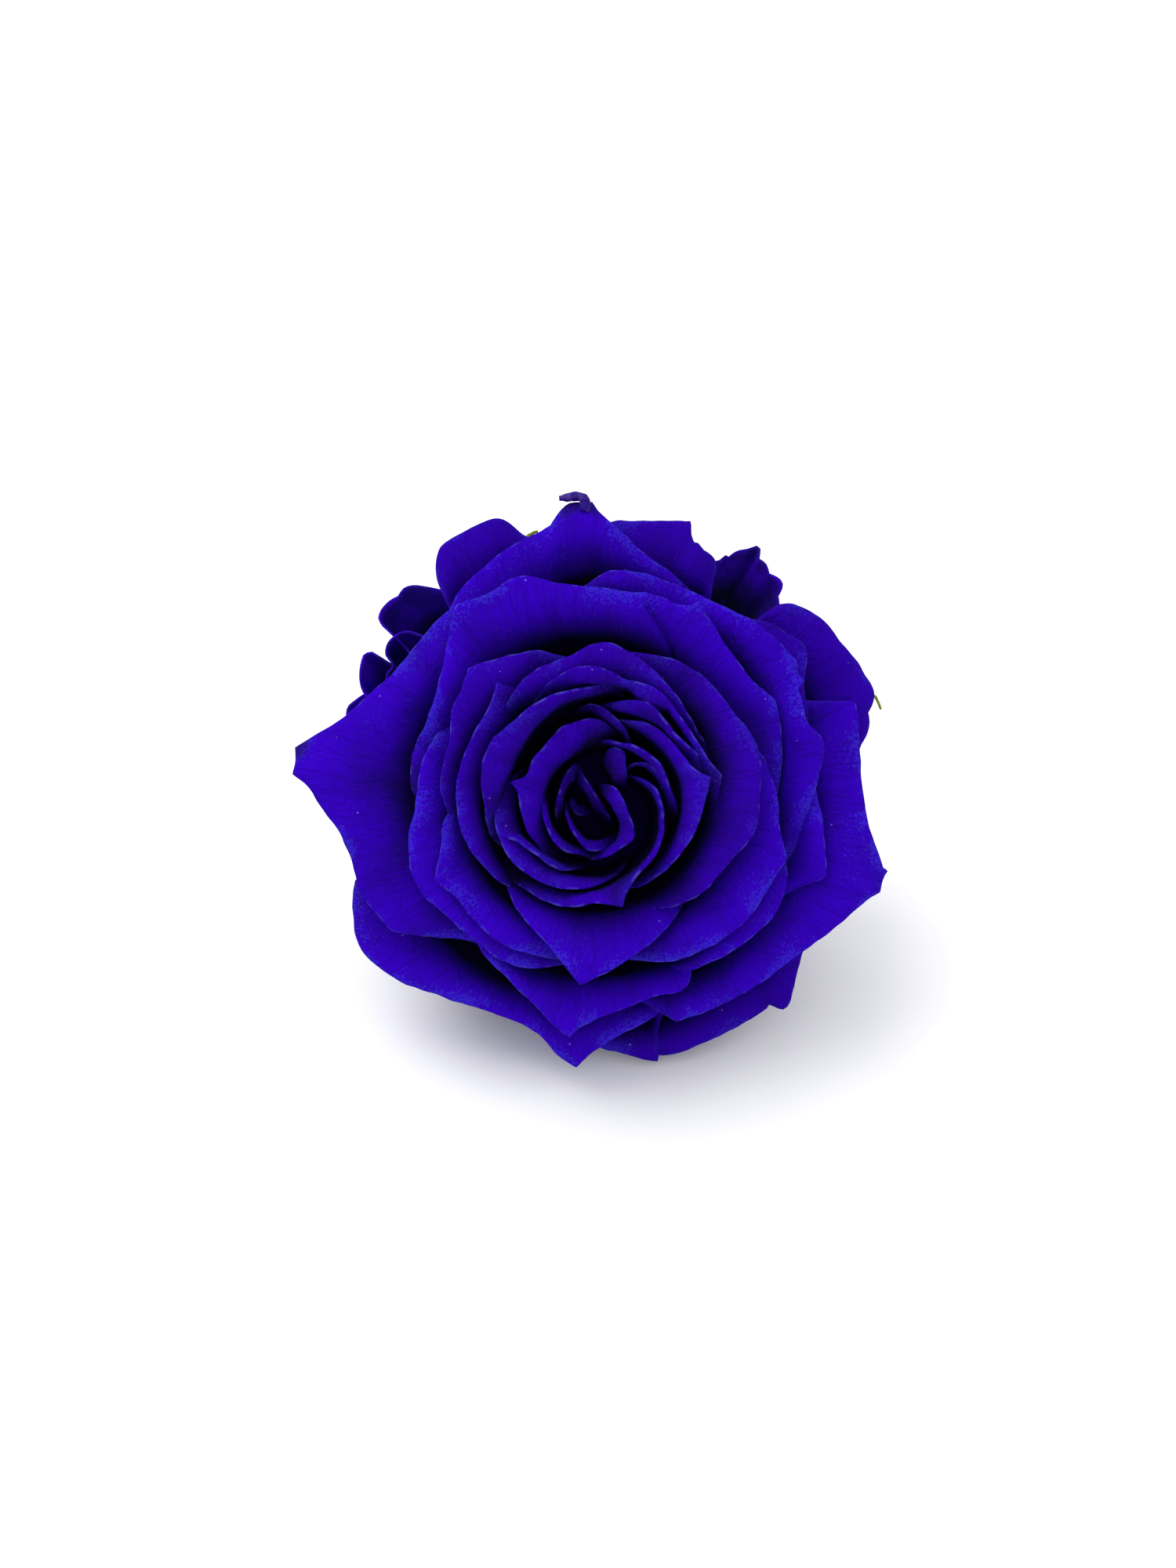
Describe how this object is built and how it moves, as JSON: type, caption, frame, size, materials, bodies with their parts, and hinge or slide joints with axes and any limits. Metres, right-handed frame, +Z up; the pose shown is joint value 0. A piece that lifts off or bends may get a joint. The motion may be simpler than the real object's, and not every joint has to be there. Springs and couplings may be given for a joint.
{
  "type": "preserved rose head",
  "caption": "Preserved rose head with waved, pointed petals in dense layers, a calyx with sepals and a short cut stem, lying on its side.",
  "frame": {"origin": "on the surface, under the middle of the whole head's box", "axes": "+Z up; the bloom faces -Y and 38 degrees up, with its cut stem behind it at +Y; X runs across its face, the widest way"},
  "size_m": [0.0684, 0.0561, 0.0559],
  "materials": {
    "petal": "dyed royal blue, velvety and matt, with a faint light sheen on turned rims",
    "calyx": "green leaf dyed dark blue, matt, with dry yellow-green edges",
    "stem": "dark green dyed bark, with a pale cut end"
  },
  "bodies": {
    "root": {"bloom": "petal", "calyx": "calyx", "stem": "stem"}
  },
  "joints": []
}
